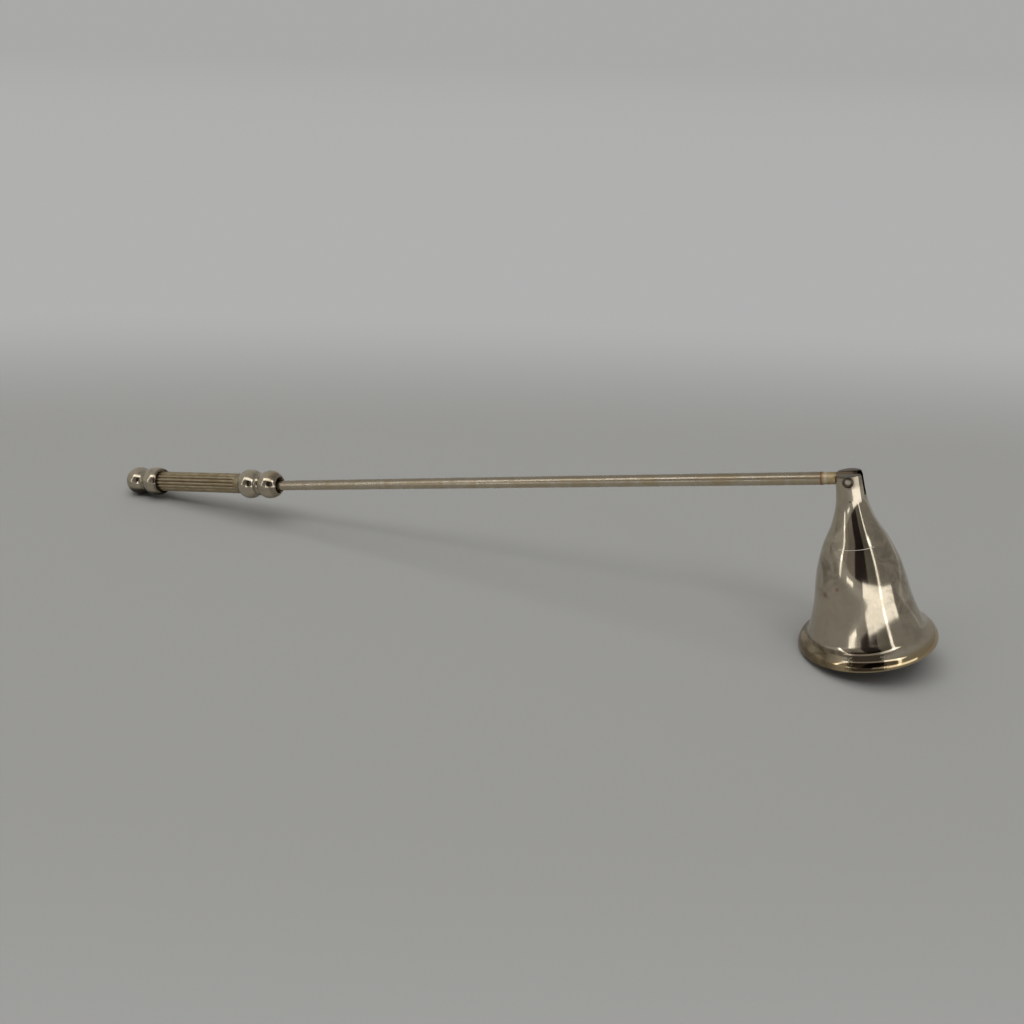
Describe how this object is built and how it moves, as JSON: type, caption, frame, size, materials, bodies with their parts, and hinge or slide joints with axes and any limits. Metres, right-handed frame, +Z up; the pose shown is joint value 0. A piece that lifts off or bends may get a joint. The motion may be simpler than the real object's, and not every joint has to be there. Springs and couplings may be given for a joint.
{
  "type": "candle snuffer",
  "caption": "Long-handled candle snuffer: a flared bell hinged to the tip of a slim tapered shaft, with a reeded grip between turned double-bead knobs.",
  "frame": {"origin": "middle of the snuffer's footprint on the table it lies on, on the tail ball and the near side of the bell's rim", "axes": "+X from the tail knob to the bell, +Z up, +Y square to the plane of the shaft; the shaft slopes up to the hinge"},
  "size_m": [0.2948, 0.04, 0.0572],
  "materials": {
    "knobs": "polished worn silver plate on brass",
    "grip": "polished silver plate worn to the brass",
    "stud": "drawn rod with threaded ends",
    "shaft": "polished worn silver plate on brass",
    "fitting": "turned and filed brass",
    "pin": "brass rivet with formed heads",
    "bell": "polished worn silver plate on brass"
  },
  "bodies": {
    "handle": {"tail_knob": "knobs", "grip_sleeve": "grip", "front_knob": "knobs", "tie_stud": "stud", "shaft": "shaft", "hinge_fitting": "fitting"},
    "bell_body": {"bell": "bell", "hinge_pin": "pin"}
  },
  "joints": [
    {"name": "bell_swing", "type": "hinge", "parent": "handle", "child": "bell_body", "pos_m": [0.11519, 0, 0.05489], "axis": [0, -1, 0], "range_deg": [0, 174]}
  ]
}
